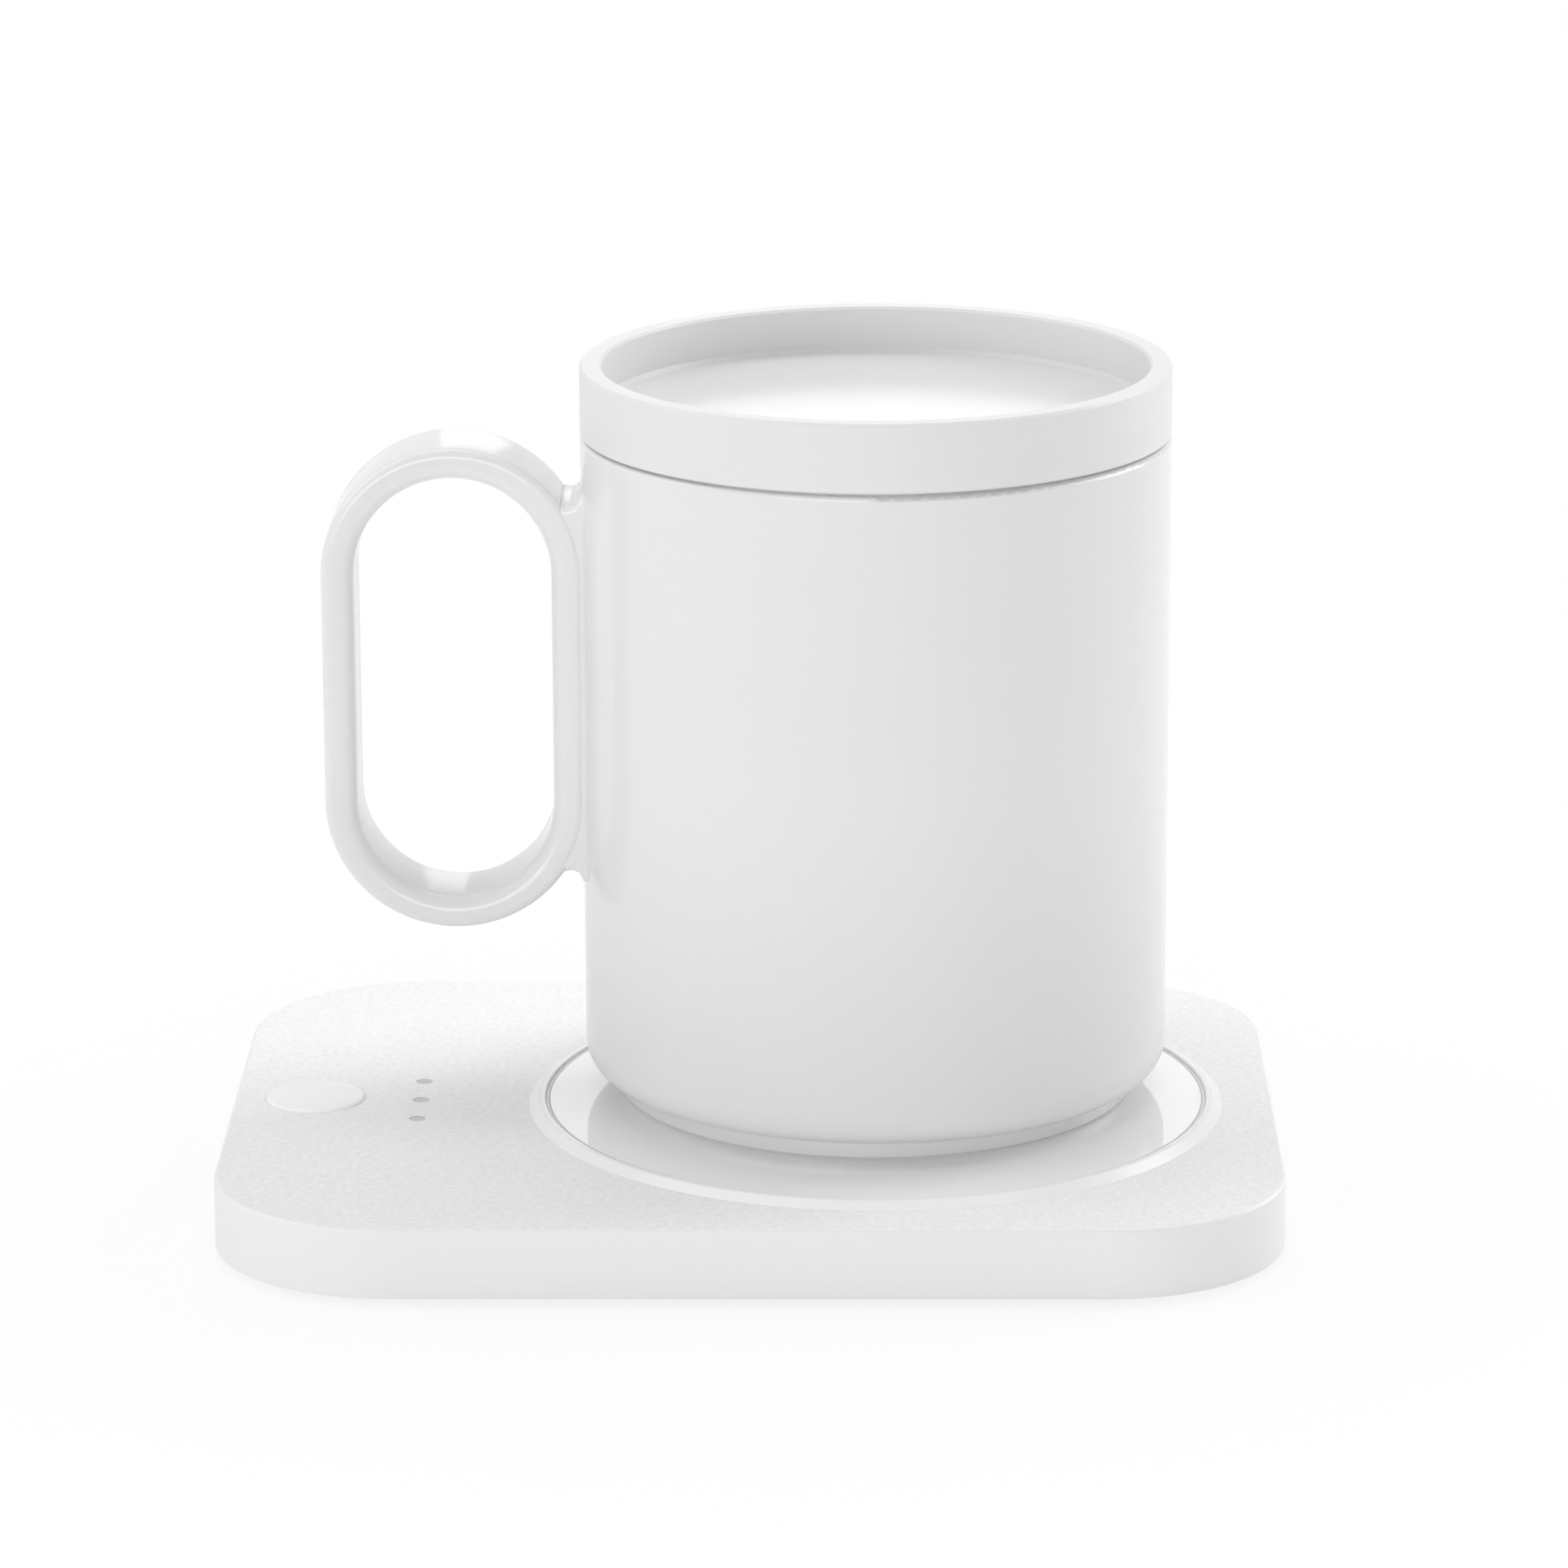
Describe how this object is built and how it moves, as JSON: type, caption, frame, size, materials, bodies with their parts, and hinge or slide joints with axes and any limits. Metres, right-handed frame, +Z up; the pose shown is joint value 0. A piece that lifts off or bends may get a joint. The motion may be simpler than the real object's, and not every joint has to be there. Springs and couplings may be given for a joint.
{
  "type": "electric mug warmer",
  "caption": "Slim rounded-slab mug warmer with a push button, indicator windows and a raised heating plate, carrying a lidded mug with a ring handle.",
  "frame": {"origin": "middle of the base in plan, on the surface that the feet stand on", "axes": "+X along the base from the button towards the heating plate, +Y from the front edge to the rear edge with the power inlet, +Z up"},
  "size_m": [0.144, 0.112, 0.1134],
  "materials": {
    "body_white": "fine spark-textured satin moulding",
    "cover_white": "matt moulding",
    "bezel_white": "satin moulding with a soft gloss",
    "button_white": "satin moulding",
    "plate_glass": "polished, mirror-like",
    "window_grey": "translucent grey, smooth",
    "glaze_white": "smooth white glaze",
    "lid_white": "gloss moulding",
    "insert_white": "matt moulding",
    "silicone_clear": "soft translucent silicone",
    "foot_rubber": "matt grey rubber",
    "spreader_metal": "bare rolled sheet",
    "clamp_steel": "zinc-plated pressing",
    "screw_steel": "zinc-plated",
    "film_amber": "amber film over etched foil",
    "pad_grey": "pressed fibre sheet",
    "board_green": "solder mask",
    "chip_black": "moulded package",
    "wire_red": "wire insulation"
  },
  "bodies": {
    "base": {"board_screws": "screw_steel", "bottom_cover": "cover_white", "clamp_screws": "screw_steel", "control_board": "board_green", "control_chip": "chip_black", "foot_front_left": "foot_rubber", "foot_front_right": "foot_rubber", "foot_rear_left": "foot_rubber", "foot_rear_right": "foot_rubber", "heat_spreader": "spreader_metal", "heater_clamp": "clamp_steel", "heater_lead_front": "wire_red", "heater_lead_rear": "wire_red", "heating_element": "film_amber", "heating_plate": "plate_glass", "housing_screws": "screw_steel", "indicator_led_front": "insert_white", "indicator_led_middle": "insert_white", "indicator_led_rear": "insert_white", "inlet_capacitor": "chip_black", "inlet_shell": "clamp_steel", "inlet_tongue": "chip_black", "insulation_pad": "pad_grey", "light_pipe_front": "window_grey", "light_pipe_middle": "window_grey", "light_pipe_rear": "window_grey", "plate_bezel": "bezel_white", "plate_gasket": "silicone_clear", "power_transistor": "chip_black", "sensor_leads": "wire_red", "tact_switch": "chip_black", "temperature_sensor": "chip_black", "thermal_fuse": "chip_black", "top_housing": "body_white"},
    "button": {"button_cap": "button_white", "switch_plunger": "chip_black"},
    "mug": {"mug_body": "glaze_white", "mug_handle": "glaze_white"},
    "lid": {"lid_cap": "lid_white", "lid_insert": "insert_white", "lid_seal": "silicone_clear"}
  },
  "joints": [
    {"name": "button_press", "type": "slide", "parent": "base", "child": "button", "axis": [0, 0, -1], "range_m": [0, 0.0005], "stiffness_N_per_m": 400, "springref_m": -0.001},
    {"name": "mug_lift", "type": "slide", "parent": "base", "child": "mug", "axis": [0, 0, 1], "range_m": [0, 0.12]},
    {"name": "lid_lift", "type": "slide", "parent": "mug", "child": "lid", "axis": [0, 0, 1], "range_m": [0, 0.04]}
  ]
}
